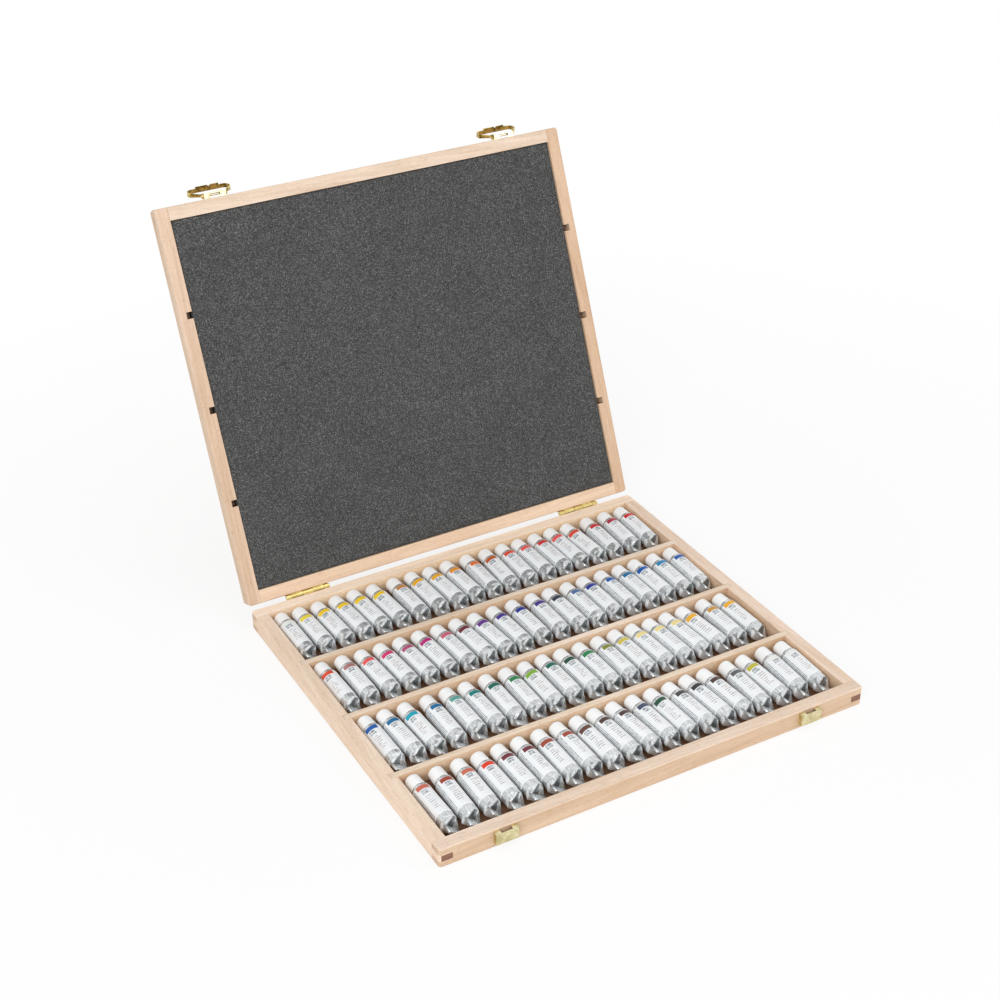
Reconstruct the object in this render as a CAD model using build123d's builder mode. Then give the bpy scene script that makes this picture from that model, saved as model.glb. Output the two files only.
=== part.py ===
from build123d import *
from math import cos, radians, sin
import os

# Watercolour paint box: a finger-jointed beech case, lid hinged open, four rows of tubes.
# Millimetres. Origin: centre of the base's underside. +X right, +Y to the hinges, +Z up.
# The lid and its latches are made closed and then turned open about the hinge pins.

os.makedirs("parts", exist_ok=True)

# Case
box_width = 340.0
box_depth = 302.0
base_height = 15.5
lid_height = 12.5
lid_gap = 0.1
rail_thickness = 10.0
corner_ease = 1.6
rim_ease = 0.6
edge_ease = 1.0
finger_count = 3
panel_thickness = 3.0
panel_housing = 5.0
lid_open_angle = 113.5

# Compartments
row_count = 4
divider_thickness = 4.8
divider_end = 4.3
dado_width = 5.0
dado_depth = 4.5

# Foam pad in the lid
pad_recess = 1.4
pad_side_gap = 0.3
pad_edge_ease = 0.6

# Tubes
tubes_per_row = 20
tube_pitch = 15.9
tube_sides = 10
tube_radius = 6.75
tube_roll = 40.0
shoulder_radius = 5.2
shoulder_length = 2.2
body_start = 13.6
crimp_start = 47.2
fold_start = 56.4
tube_end = 64.8
crimp_width = 18.6
crimp_thickness = 1.2
fold_thickness = 1.8
cap_start = 1.6
cap_tip_radius = 5.6
cap_base_radius = 5.9
row_slack = (0.0, 0.4, 0.2, 1.0)

# Hinges
fitting_x = 122.0
hinge_length = 36.0
outer_knuckle = 4.6
knuckle_gap = 0.15
knuckle_radius = 1.8
hinge_offset = 2.1
leaf_thickness = 0.9
leaf_height = 9.0
leaf_relief = 2.3
pin_radius = 0.9
pin_clearance = 0.05
knuckle_sides = 10

# Latches: a folded keeper on the base, a folded bracket and a swinging hasp on the lid
fitting_width = 17.0
fitting_sheet = 0.7
fitting_round = 0.6
notch_width = 8.4
keeper_bottom = 5.0
keeper_height = 8.8
keeper_depth = 4.0
bracket_rise = 0.5
bracket_height = 5.0
bracket_depth = 4.4
pivot_depth = 2.4
pivot_rise = 3.0
pivot_radius = 0.8
pivot_clearance = 0.05
prong_width = 2.4
prong_length = 6.0
pin_half_length = 10.3
hasp_sheet = 0.9
hasp_reach = 14.35
hasp_arm_gap = 0.35
hasp_eye_radius = 1.9
hasp_neck = 1.5
hasp_splay_angle = 50.0
hasp_splay_radius = 2.2
hasp_corner_radius = 4.0
hasp_inner_lip = 2.0
hasp_outer_lip = 2.4
hasp_arm_band = 1.6
hasp_arm_lip = 0.6
hasp_flare_start = 3.0
hasp_flare_end = 7.0
hasp_plate_half_width = 9.0
hasp_notch_x = 1.5
hasp_notch_width = 2.6
hasp_notch_depth = 1.3
hasp_rest_angle = 25.0

# Worked out from the above
half_depth = box_depth / 2
inner_width = box_width - 2 * rail_thickness
inner_depth = box_depth - 2 * rail_thickness
panel_width = inner_width + 2 * panel_housing
panel_depth = inner_depth + 2 * panel_housing
compartment = (inner_depth - (row_count - 1) * divider_thickness) / row_count
row_pitch = compartment + divider_thickness
lid_bottom = base_height + lid_gap
lid_top = lid_bottom + lid_height
base_finger = base_height / finger_count
lid_finger = lid_height / finger_count
hinge_y = half_depth + hinge_offset
hinge_z = base_height
hinge_axis = Axis((0, hinge_y, hinge_z), (1, 0, 0))
on_floor = (Align.CENTER, Align.CENTER, Align.MIN)


def save(shape, name):
    """Labels one finished piece and writes it."""
    shape.label = name
    export_step(shape, f"parts/{name}.step")


def swing_open(shape):
    """A piece of the lid, made closed, turned open about the hinge pins."""
    return shape.rotate(hinge_axis, -lid_open_angle)


def case_form(bottom, height, bottom_ease, top_ease):
    """The outer form of one half of the case, with its corners and long edges eased."""
    with BuildPart() as form:
        with BuildSketch(Plane.XY.offset(bottom)) as outline:
            Rectangle(box_width, box_depth)
            chamfer(outline.vertices(), corner_ease)
        extrude(amount=height)
        chamfer(form.faces().sort_by(Axis.Z)[0].edges(), bottom_ease)
        chamfer(form.faces().sort_by(Axis.Z)[-1].edges(), top_ease)
    return form.part


base_form = case_form(0, base_height, edge_ease, rim_ease)
lid_form = case_form(lid_bottom, lid_height, rim_ease, edge_ease)


def cross_rail(side, bottom, height, form, finger, through, panel_bottom):
    """A front or back rail. through lists the finger levels that reach the case's outer corners."""
    with BuildPart() as rail:
        with Locations((0, side * (box_depth - rail_thickness) / 2, bottom)):
            Box(box_width, rail_thickness, height, align=on_floor)
        for level in range(finger_count):
            if level in through:
                continue
            for end in (-1, 1):
                corner_x = end * (box_width - rail_thickness) / 2
                corner_y = side * (box_depth - rail_thickness) / 2
                with Locations((corner_x, corner_y, bottom + level * finger)):
                    Box(rail_thickness, rail_thickness, finger, align=on_floor, mode=Mode.SUBTRACT)
        with Locations((0, 0, panel_bottom)):
            Box(panel_width, panel_depth, panel_thickness, align=on_floor, mode=Mode.SUBTRACT)
        add(form, mode=Mode.INTERSECT)
    return rail.part


def side_rail(side, bottom, height, form, finger, through, panel_bottom, dado_bottom):
    """A left or right rail, with the dados that house the dividers' ends."""
    with BuildPart() as rail:
        with Locations((side * (box_width - rail_thickness) / 2, 0, bottom)):
            Box(rail_thickness, box_depth, height, align=on_floor)
        for level in range(finger_count):
            if level in through:
                continue
            for end in (-1, 1):
                corner_x = side * (box_width - rail_thickness) / 2
                corner_y = end * (box_depth - rail_thickness) / 2
                with Locations((corner_x, corner_y, bottom + level * finger)):
                    Box(rail_thickness, rail_thickness, finger, align=on_floor, mode=Mode.SUBTRACT)
        with Locations((0, 0, panel_bottom)):
            Box(panel_width, panel_depth, panel_thickness, align=on_floor, mode=Mode.SUBTRACT)
        dado_x = side * (inner_width + dado_depth) / 2
        with Locations((dado_x, 0, dado_bottom)):
            with GridLocations(0, row_pitch, 1, row_count - 1):
                Box(dado_depth, dado_width, height - panel_thickness, align=on_floor, mode=Mode.SUBTRACT)
        add(form, mode=Mode.INTERSECT)
    return rail.part


# Base: the front and back rails reach the corners at the bottom and top, the sides between
for name, side in (("base_front_rail", -1), ("base_back_rail", 1)):
    save(cross_rail(side, 0, base_height, base_form, base_finger, (0, 2), 0), name)
for name, side in (("base_left_side", -1), ("base_right_side", 1)):
    rail = side_rail(side, 0, base_height, base_form, base_finger, (1,), 0, panel_thickness)
    save(rail, name)

with BuildPart() as base_panel:
    Box(panel_width, panel_depth, panel_thickness, align=on_floor)
save(base_panel.part, "base_panel")

divider_length = inner_width + 2 * divider_end
divider_height = base_height - panel_thickness
for index in range(row_count - 1):
    divider_y = half_depth - rail_thickness - (index + 1) * row_pitch + divider_thickness / 2
    with BuildPart() as divider:
        with Locations((0, divider_y, panel_thickness)):
            Box(divider_length, divider_thickness, divider_height, align=on_floor)
    save(divider.part, f"divider_{index + 1}")

# Lid: the fingers carry on alternating past the saw cut, so here the sides reach the corners
lid_panel_bottom = lid_top - panel_thickness
for name, side in (("lid_front_rail", -1), ("lid_back_rail", 1)):
    rail = cross_rail(side, lid_bottom, lid_height, lid_form, lid_finger, (1,), lid_panel_bottom)
    save(swing_open(rail), name)
for name, side in (("lid_left_side", -1), ("lid_right_side", 1)):
    rail = side_rail(
        side, lid_bottom, lid_height, lid_form, lid_finger, (0, 2), lid_panel_bottom, lid_bottom
    )
    save(swing_open(rail), name)

with BuildPart() as lid_panel:
    with Locations((0, 0, lid_panel_bottom)):
        Box(panel_width, panel_depth, panel_thickness, align=on_floor)
save(swing_open(lid_panel.part), "lid_panel")

with BuildPart() as lid_foam_pad:
    with BuildSketch(Plane.XY.offset(lid_bottom + pad_recess)):
        Rectangle(inner_width - 2 * pad_side_gap, inner_depth - 2 * pad_side_gap)
    extrude(amount=lid_height - panel_thickness - pad_recess)
    chamfer(lid_foam_pad.faces().sort_by(Axis.Z)[0].edges(), pad_edge_ease)
save(swing_open(lid_foam_pad.part), "lid_foam_pad")


# Hinges: five knuckles on a pin behind the case, the leaves screwed to the back rails
inner_knuckle = (hinge_length - 2 * outer_knuckle) / 3
knuckle_lengths = [outer_knuckle, inner_knuckle, inner_knuckle, inner_knuckle, outer_knuckle]


def hinge_leaf(centre_x, upward, own_knuckles, bore_radius):
    """One leaf on the back face and its rolled knuckles. upward is 1 on the lid, -1 on the base."""
    leaf_y = half_depth + leaf_thickness / 2
    near = hinge_z + upward * leaf_relief
    middle = near + upward * leaf_height / 2
    with BuildPart() as leaf:
        with Locations((centre_x, leaf_y, middle)):
            Box(hinge_length, leaf_thickness, leaf_height)
        start = centre_x - hinge_length / 2
        for index, length in enumerate(knuckle_lengths):
            if index in own_knuckles:
                with BuildSketch(Plane.YZ.offset(start + knuckle_gap / 2)):
                    with Locations((hinge_y, hinge_z)):
                        RegularPolygon(knuckle_radius, knuckle_sides)
                    with Locations((leaf_y, hinge_z + upward * leaf_relief / 2)):
                        Rectangle(leaf_thickness, leaf_relief)
                    with Locations((hinge_y, hinge_z)):
                        RegularPolygon(
                            bore_radius, knuckle_sides, major_radius=False, mode=Mode.SUBTRACT
                        )
                extrude(amount=length - knuckle_gap)
            start += length
    return leaf.part


for name, centre_x in (("left", -fitting_x), ("right", fitting_x)):
    save(hinge_leaf(centre_x, -1, (0, 2, 4), pin_radius), f"{name}_hinge_base_leaf")
    lid_leaf = hinge_leaf(centre_x, 1, (1, 3), pin_radius + pin_clearance)
    save(swing_open(lid_leaf), f"{name}_hinge_lid_leaf")
    with BuildPart() as hinge_pin:
        with Locations((centre_x, hinge_y, hinge_z)):
            Cylinder(pin_radius, hinge_length, rotation=(0, 90, 0))
    save(hinge_pin.part, f"{name}_hinge_pin")


# Latches
def folded_box(centre_x, bottom, height, depth, open_top, notch_at_top):
    """A keeper or bracket folded from sheet, open towards the wood, with two prongs driven in."""
    front = -half_depth
    with BuildPart() as box:
        with Locations((centre_x, front, bottom)):
            Box(fitting_width, depth, height, align=(Align.CENTER, Align.MAX, Align.MIN))
        front_face = box.faces().sort_by(Axis.Y)[0]
        fillet(front_face.edges().filter_by(Axis.Z), fitting_round)
        hollow_height = height - fitting_sheet if open_top else height - 2 * fitting_sheet
        with Locations((centre_x, front, bottom + fitting_sheet)):
            Box(
                fitting_width - 2 * fitting_sheet,
                depth - fitting_sheet,
                hollow_height,
                align=(Align.CENTER, Align.MAX, Align.MIN),
                mode=Mode.SUBTRACT,
            )
        notch_bottom = bottom + height - fitting_sheet if notch_at_top else bottom
        with Locations((centre_x, front, notch_bottom)):
            Box(
                notch_width,
                depth - fitting_sheet,
                fitting_sheet,
                align=(Align.CENTER, Align.MAX, Align.MIN),
                mode=Mode.SUBTRACT,
            )
        cheek_x = (fitting_width - fitting_sheet) / 2
        for end in (-1, 1):
            cheek = Plane.YZ.offset(centre_x + end * cheek_x - fitting_sheet / 2)
            middle = bottom + height / 2
            with BuildSketch(cheek):
                with BuildLine():
                    Polyline(
                        (front, middle - prong_width / 2),
                        (front + prong_length, middle),
                        (front, middle + prong_width / 2),
                        close=True,
                    )
                make_face()
            extrude(amount=fitting_sheet)
    return box.part


pivot_y = -half_depth - pivot_depth
pivot_z = lid_bottom + pivot_rise
arm_x = fitting_width / 2 + hasp_arm_gap + hasp_sheet / 2
hasp_up = Vector(0, 0, 1).rotate(Axis.X, hasp_rest_angle)
hasp_out = Vector(0, -1, 0).rotate(Axis.X, hasp_rest_angle)


def bracket(centre_x):
    """The lid's bracket, with the holes that its pivot pin is fixed in."""
    bottom = lid_bottom + bracket_rise
    folded = folded_box(centre_x, bottom, bracket_height, bracket_depth, True, False)
    with BuildPart() as pierced:
        add(folded)
        with BuildSketch(Plane.YZ.offset(centre_x)):
            with Locations((pivot_y, pivot_z)):
                RegularPolygon(pivot_radius, knuckle_sides, major_radius=False)
        extrude(amount=fitting_width, both=True, mode=Mode.SUBTRACT)
    return pierced.part


def pivot_pin(centre_x):
    """The pin through the bracket's cheeks and the hasp's eyes."""
    with BuildPart() as pin:
        with Locations((centre_x, pivot_y, pivot_z)):
            Cylinder(pivot_radius, 2 * pin_half_length, rotation=(0, 90, 0))
    return pin.part


def hasp(centre_x):
    """A band on edge, bent round from one pivot eye to the other, standing off the lid at rest.
    Its far side is taller between two steps, with a notch for a fingernail."""
    pivot = (centre_x, pivot_y, pivot_z)
    flat = Plane(origin=pivot, x_dir=(1, 0, 0), z_dir=hasp_out)
    side = Plane(origin=pivot, x_dir=hasp_up, z_dir=(1, 0, 0))
    across = Plane(origin=pivot, x_dir=(1, 0, 0), z_dir=-hasp_up).offset(-hasp_reach)
    far_edge = hasp_reach + hasp_sheet
    splay = radians(hasp_splay_angle)
    splay_start = hasp_neck + hasp_splay_radius * sin(splay)
    splay_end = hasp_reach - hasp_corner_radius * (1 + sin(splay))
    splay_length = (splay_end - splay_start) / cos(splay)
    with BuildPart() as band:
        with BuildSketch(flat.offset(-hasp_outer_lip)):
            with BuildLine():
                neck = Line((arm_x, -hasp_eye_radius), (arm_x, hasp_neck))
                out_bend = JernArc(neck @ 1, (0, 1), hasp_splay_radius, -hasp_splay_angle)
                slope = PolarLine(out_bend @ 1, splay_length, 90 - hasp_splay_angle)
                corner = JernArc(slope @ 1, slope % 1, hasp_corner_radius, 90 + hasp_splay_angle)
                Line(corner @ 1, (0, hasp_reach))
                mirror(about=Plane.YZ)
            trace(line_width=hasp_sheet)
        extrude(amount=hasp_outer_lip + hasp_inner_lip)
        with BuildSketch(side):
            with BuildLine():
                Polyline(
                    (0, -hasp_arm_band),
                    (hasp_flare_start, -hasp_arm_band),
                    (hasp_flare_end, -hasp_outer_lip),
                    (far_edge, -hasp_outer_lip),
                    (far_edge, hasp_arm_lip),
                    (hasp_flare_start, hasp_arm_lip),
                    (0, hasp_arm_band),
                    close=True,
                )
            make_face()
            RegularPolygon(hasp_eye_radius, knuckle_sides)
            eye_hole = pivot_radius + pivot_clearance
            RegularPolygon(eye_hole, knuckle_sides, major_radius=False, mode=Mode.SUBTRACT)
        extrude(amount=2 * hasp_reach, both=True, mode=Mode.INTERSECT)
        with BuildSketch(flat.offset(-hasp_outer_lip)):
            with Locations((0, hasp_reach)):
                Rectangle(2 * hasp_plate_half_width, hasp_sheet)
        extrude(amount=hasp_outer_lip + hasp_inner_lip)
        with BuildSketch(across):
            with BuildLine():
                Polyline(
                    (hasp_notch_x - hasp_notch_width / 2, hasp_inner_lip),
                    (hasp_notch_x, hasp_inner_lip - hasp_notch_depth),
                    (hasp_notch_x + hasp_notch_width / 2, hasp_inner_lip),
                    close=True,
                )
            make_face()
        extrude(amount=hasp_sheet, both=True, mode=Mode.SUBTRACT)
    return band.part


for name, centre_x in (("left", -fitting_x), ("right", fitting_x)):
    keeper = folded_box(centre_x, keeper_bottom, keeper_height, keeper_depth, False, True)
    save(keeper, f"{name}_keeper")
    save(swing_open(bracket(centre_x)), f"{name}_latch_bracket")
    save(swing_open(pivot_pin(centre_x)), f"{name}_latch_pin")
    save(swing_open(hasp(centre_x)), f"{name}_hasp")


# Tubes: caps towards the hinges, each crimped end turned so that neighbours clear each other
tube_across = Vector(1, 0, 0).rotate(Axis.Y, tube_roll)
tube_plane = Plane(origin=(0, 0, 0), x_dir=tube_across, z_dir=(0, -1, 0))


def tube_section(station, radius, spread):
    """Corners of a cross-section: regular where spread is 0, pulled flat where it is more."""
    corners = []
    for index in range(tube_sides):
        corner = Vector(radius, 0, 0).rotate(Axis.Z, index * 360 / tube_sides)
        shift = spread if corner.X > 0 else -spread
        corners.append(tube_plane.from_local_coords(Vector(corner.X + shift, corner.Y, station)))
    return corners


def faceted(*sections):
    """A solid with flat faces from each cross-section to the next, whose sides run parallel."""
    outlines = [sections[0], sections[-1]]
    for near, far in zip(sections, sections[1:]):
        for index in range(tube_sides):
            after = (index + 1) % tube_sides
            outlines.append([near[index], near[after], far[after], far[index]])
    return Solid(Shell([Face(Wire.make_polygon(outline)) for outline in outlines]))


nose_radius = crimp_thickness / 2 / cos(radians(180 / tube_sides))
tube_form = faceted(
    tube_section(body_start, shoulder_radius, 0),
    tube_section(body_start + shoulder_length, tube_radius, 0),
    tube_section(crimp_start, tube_radius, 0),
    tube_section(fold_start, nose_radius, crimp_width / 2 - nose_radius),
)
cap_form = faceted(
    tube_section(cap_start, cap_tip_radius, 0),
    tube_section(body_start, cap_base_radius, 0),
)

with BuildPart() as tube:
    add(tube_form)
    with BuildSketch(tube_plane.offset(fold_start)):
        Rectangle(crimp_width, fold_thickness)
    extrude(amount=tube_end - fold_start)

tube_z = panel_thickness + tube_radius
for row in range(row_count):
    row_y = half_depth - rail_thickness - row * row_pitch - row_slack[row]
    for name, piece in (("tubes", tube.part), ("caps", cap_form)):
        with BuildPart() as filled_row:
            with Locations((0, row_y, tube_z)):
                with GridLocations(tube_pitch, 0, tubes_per_row, 1):
                    add(piece)
        save(filled_row.part, f"{name}_row_{row + 1}")
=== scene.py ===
"""Watercolour paint box, open, with eighty tubes: looks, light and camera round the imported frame."""
import math
import random

import bmesh
import bpy
from mathutils import Matrix, Vector
from mathutils.geometry import tessellate_polygon

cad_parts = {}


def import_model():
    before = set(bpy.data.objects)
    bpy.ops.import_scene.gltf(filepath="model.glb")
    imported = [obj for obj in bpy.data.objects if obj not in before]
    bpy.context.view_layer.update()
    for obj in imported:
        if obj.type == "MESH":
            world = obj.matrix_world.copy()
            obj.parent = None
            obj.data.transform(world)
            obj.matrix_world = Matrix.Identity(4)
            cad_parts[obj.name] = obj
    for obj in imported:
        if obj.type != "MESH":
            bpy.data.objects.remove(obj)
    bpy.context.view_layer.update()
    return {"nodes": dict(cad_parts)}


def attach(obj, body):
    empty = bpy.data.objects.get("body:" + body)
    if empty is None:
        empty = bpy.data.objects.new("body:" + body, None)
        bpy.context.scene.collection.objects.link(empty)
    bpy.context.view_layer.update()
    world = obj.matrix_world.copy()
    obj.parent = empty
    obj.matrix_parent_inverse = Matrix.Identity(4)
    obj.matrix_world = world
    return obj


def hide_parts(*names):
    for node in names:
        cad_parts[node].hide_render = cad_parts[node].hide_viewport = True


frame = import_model()

# Lengths are in millimetres up to the point where a mesh is written, as in the CAD.
MM = 0.001
LID_ANGLE = 113.5
HINGE_Y, HINGE_Z = 153.1, 15.5


# Shader nodes
def add(tree, kind, inputs=None, **settings):
    """One shader node. A value in inputs is a socket to link or a constant."""
    made = tree.nodes.new(kind)
    for key, value in settings.items():
        setattr(made, key, value)
    for key, value in (inputs or {}).items():
        if isinstance(value, bpy.types.NodeSocket):
            tree.links.new(value, made.inputs[key])
        else:
            made.inputs[key].default_value = value
    return made


def calc(tree, operation, *values, clamp=False):
    """The result of one math node."""
    made = add(tree, "ShaderNodeMath", dict(enumerate(values)), operation=operation, use_clamp=clamp)
    return made.outputs[0]


# Which of the mix node's sockets take and give colours
MIX_SHARE, MIX_A, MIX_B, MIX_RESULT = 0, 6, 7, 2


def mix(tree, share, a, b, blend="MIX"):
    """Two colours mixed, b by that share."""
    made = add(tree, "ShaderNodeMix", data_type="RGBA", blend_type=blend)
    for index, value in ((MIX_SHARE, share), (MIX_A, a), (MIX_B, b)):
        if isinstance(value, bpy.types.NodeSocket):
            tree.links.new(value, made.inputs[index])
        else:
            made.inputs[index].default_value = value
    return made.outputs[MIX_RESULT]


def ramp(tree, value, *stops):
    """A value turned into a colour. stops are (position, grey or colour)."""
    made = add(tree, "ShaderNodeValToRGB", {0: value})
    points = made.color_ramp.elements
    while len(points) < len(stops):
        points.new(0.5)
    for point, (position, shade) in zip(points, stops):
        point.position = position
        point.color = shade if isinstance(shade, tuple) else (shade, shade, shade, 1)
    return made.outputs[0]


def srgb(red, green, blue):
    """A colour written as it looks on screen, 0 to 255."""
    def linear(value):
        value /= 255
        return value / 12.92 if value <= 0.04045 else ((value + 0.055) / 1.055) ** 2.4
    return (linear(red), linear(green), linear(blue), 1)


def material(name, **constants):
    """A principled material with those constants on its shader's own sockets."""
    made = bpy.data.materials.new(name)
    made.use_nodes = True
    tree = made.node_tree
    shader = tree.nodes["Principled BSDF"]
    for key, value in constants.items():
        shader.inputs[key.replace("_", " ")].default_value = value
    return made, tree, shader


def bump(tree, shader, height, distance, strength):
    """Fine relief on the shader. distance is its depth in metres."""
    made = add(tree, "ShaderNodeBump", {"Height": height, "Distance": distance, "Strength": strength})
    tree.links.new(made.outputs[0], shader.inputs["Normal"])


def scaled(tree, vector, scale, location=(0, 0, 0), rotation=(0, 0, 0)):
    """Coordinates scaled, then turned, then moved."""
    made = add(tree, "ShaderNodeMapping", {"Vector": vector, "Scale": scale,
                                           "Location": location, "Rotation": rotation})
    return made.outputs[0]


def noise(tree, vector, detail, roughness, distortion=0.0):
    """Noise with one feature to each unit of vector."""
    made = add(tree, "ShaderNodeTexNoise", {"Vector": vector, "Scale": 1.0, "Detail": detail,
                                            "Roughness": roughness, "Distortion": distortion})
    return made.outputs[0]


def share_of(tree, value, low, high):
    """0 below low, 1 above high."""
    made = add(tree, "ShaderNodeMapRange", {"Value": value, "From Min": low, "From Max": high})
    return made.outputs[0]


# Beech
BOARD_LEANS = (-3.2, 2.4, -1.6, 3.6)
PORE = srgb(92, 60, 46)


def beech(name, across, on_lid, seed, flat, upright, ends):
    """Plain beech. The grain runs along X, or along Y where across is true, in the closed case's
    directions. flat, upright and ends are the colours of the faces that lie flat, of those that
    stand, and of the sawn end grain. flat and upright are the board's tone with painted light and
    shade, lighter or darker for how each facing is lit."""
    made, tree, shader = material(name, Specular_IOR_Level=0.3)
    where = add(tree, "ShaderNodeTexCoord")
    turn = (math.radians(LID_ANGLE) if on_lid else 0, 0, -math.pi / 2 if across else 0)
    lean = math.radians(BOARD_LEANS[seed % len(BOARD_LEANS)])

    # Millimetres with the grain along X, from another part of the tree for each board
    grain = scaled(tree, where.outputs["Object"], (1000, 1000, 1000), rotation=turn)
    grain = scaled(tree, grain, (1, 1, 1), (37.0 * seed, 11.3 * seed, 5.9 * seed), (0, lean, lean))
    facing = scaled(tree, where.outputs["Normal"], (1, 1, 1), rotation=turn)
    axes = add(tree, "ShaderNodeSeparateXYZ", {0: facing})
    end = share_of(tree, calc(tree, "ABSOLUTE", axes.outputs[0]), 0.75, 0.9)
    level = share_of(tree, calc(tree, "ABSOLUTE", axes.outputs[2]), 0.3, 0.8)

    def pattern(along, across_grain, detail, roughness, low, high, distortion=0.0):
        """Noise drawn out along the grain. along and across_grain are its scales per millimetre."""
        place = scaled(tree, grain, (along, across_grain, across_grain))
        return share_of(tree, noise(tree, place, detail, roughness, distortion), low, high)

    figure = pattern(0.005, 0.1, 3, 0.55, 0.34, 0.66, 0.5)
    streak = pattern(0.014, 0.55, 3, 0.6, 0.32, 0.68)
    hair = pattern(0.05, 2.6, 2, 0.6, 0.35, 0.65)
    fleck = pattern(0.3, 2.3, 1, 0.4, 0.62, 0.74)
    # Painted light and shade: flat and upright faces get lit and shaded copies of the board's tone
    colour = mix(tree, level, upright, flat)
    for share, dark, light in ((figure, (0.92, 0.89, 0.85, 1), (1.07, 1.09, 1.12, 1)),
                               (streak, (0.94, 0.92, 0.9, 1), (1.05, 1.07, 1.09, 1)),
                               (hair, (0.96, 0.95, 0.94, 1), (1.04, 1.05, 1.05, 1)),
                               (fleck, (1.0, 1.0, 1.0, 1), (0.8, 0.72, 0.65, 1))):
        colour = mix(tree, 1.0, colour, mix(tree, share, dark, light), "MULTIPLY")

    rings = noise(tree, scaled(tree, grain, (0.3, 0.25, 1.4)), 2, 0.5)
    cut = mix(tree, 1.0, ends, ramp(tree, rings, (0.3, 0.78), (0.7, 1.12)), "MULTIPLY")
    pores = scaled(tree, grain, (2.2, 2.2, 2.2))
    pores = add(tree, "ShaderNodeTexVoronoi", {"Vector": pores, "Scale": 1.0})
    pores = ramp(tree, pores.outputs["Distance"], (0.1, 1.0), (0.34, 0.0))
    cut = mix(tree, calc(tree, "MULTIPLY", pores, 0.4), cut, PORE)
    tree.links.new(mix(tree, end, colour, cut), shader.inputs["Base Color"])

    tree.links.new(calc(tree, "MULTIPLY_ADD", streak, -0.12, 0.66), shader.inputs["Roughness"])
    height = calc(tree, "SUBTRACT", calc(tree, "MULTIPLY", hair, 0.6), fleck)
    bump(tree, shader, height, 0.00005, 0.5)
    return made


# CAD nodes that show as they are, with softened edges
WELD_DISTANCE = 1e-6
SHARP_ANGLE, EASE_SEGMENTS = 35, 2
FACE_WEIGHT = 90


def carried(name, finish, ease):
    """Gives a CAD node its material and softens its sharp edges by ease millimetres."""
    node = frame["nodes"][name]
    node.data.materials.clear()
    node.data.materials.append(finish)
    weld = node.modifiers.new("weld", "WELD")
    weld.merge_threshold = WELD_DISTANCE
    soften = node.modifiers.new("soften", "BEVEL")
    soften.width = ease * MM
    soften.segments = EASE_SEGMENTS
    soften.limit_method = "ANGLE"
    soften.angle_limit = math.radians(SHARP_ANGLE)
    level = node.modifiers.new("level", "WEIGHTED_NORMAL")
    level.weight = FACE_WEIGHT


WOOD_EASE = 0.2
PALE_END, BROWN_END = srgb(218, 186, 158), srgb(142, 102, 82)
WOOD = (
    # Node, grain across, on the lid, flat faces, upright faces, end grain. The flat and upright colours
    # hold painted light and shade.
    ("base_front_rail", False, False, srgb(233, 210, 189), srgb(218, 188, 159), PALE_END),
    # The back rail's colours are made paler as painted light, against the shade of the open lid.
    ("base_back_rail", False, False, srgb(250, 229, 208), srgb(246, 218, 186), PALE_END),
    ("base_left_side", True, False, srgb(238, 215, 193), srgb(239, 214, 191), BROWN_END),
    ("base_right_side", True, False, srgb(236, 212, 191), srgb(232, 201, 171), BROWN_END),
    # The dividers' colours are made paler as painted light, against the shade of the lid and the tubes.
    ("divider_1", False, False, srgb(235, 216, 196), srgb(230, 200, 170), PALE_END),
    ("divider_2", False, False, srgb(239, 218, 197), srgb(228, 198, 168), PALE_END),
    ("divider_3", False, False, srgb(240, 220, 199), srgb(232, 202, 172), PALE_END),
    ("lid_front_rail", False, True, srgb(227, 204, 183), srgb(232, 205, 180), PALE_END),
    ("lid_back_rail", False, True, srgb(230, 200, 173), srgb(228, 198, 170), PALE_END),
    ("lid_left_side", True, True, srgb(218, 189, 164), srgb(227, 201, 177), BROWN_END),
    ("lid_right_side", True, True, srgb(215, 182, 153), srgb(226, 195, 165), BROWN_END),
    # The base panel's dark brown is painted shade, for the deep shade in the gaps between the tubes.
    ("base_panel", False, False, srgb(138, 101, 75), srgb(138, 101, 75), PALE_END),
    ("lid_panel", False, True, srgb(228, 200, 172), srgb(206, 172, 140), PALE_END),
)
for number, (name, across, on_lid, *shades) in enumerate(WOOD):
    carried(name, beech(f"beech_{name}", across, on_lid, number + 1, *shades), WOOD_EASE)


# Meshes
def piece(name, points, faces, finish, body):
    """A smooth mesh piece from millimetre points, riding on a body."""
    mesh = bpy.data.meshes.new(name)
    mesh.from_pydata([Vector(p) * MM for p in points], [], faces)
    mesh.update()
    mesh.materials.append(finish)
    mesh.polygons.foreach_set("use_smooth", [True] * len(faces))
    made = bpy.data.objects.new(name, mesh)
    bpy.context.scene.collection.objects.link(made)
    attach(made, body)
    return made


def swing(point):
    """A point of the closed lid, in millimetres, turned open about the hinge pins."""
    angle = math.radians(-LID_ANGLE)
    y, z = point[1] - HINGE_Y, point[2] - HINGE_Z
    return Vector((point[0], HINGE_Y + y * math.cos(angle) - z * math.sin(angle),
                   HINGE_Z + y * math.sin(angle) + z * math.cos(angle)))


def append(points, faces, more):
    """Adds another mesh's points and faces."""
    start = len(points)
    points.extend(more[0])
    faces.extend(tuple(start + v for v in face) for face in more[1])


def rings_mesh(rings, closed_start=False, closed_end=False):
    """Points and faces of a skin over rings of equal count."""
    points = [p for ring in rings for p in ring]
    count = len(rings[0])
    faces = []
    for k in range(len(rings) - 1):
        for j in range(count):
            a, b = k * count + j, k * count + (j + 1) % count
            faces.append((a, b, b + count, a + count))
    if closed_start:
        faces.append(tuple(reversed(range(count))))
    if closed_end:
        faces.append(tuple(range(len(points) - count, len(points))))
    return points, faces


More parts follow.
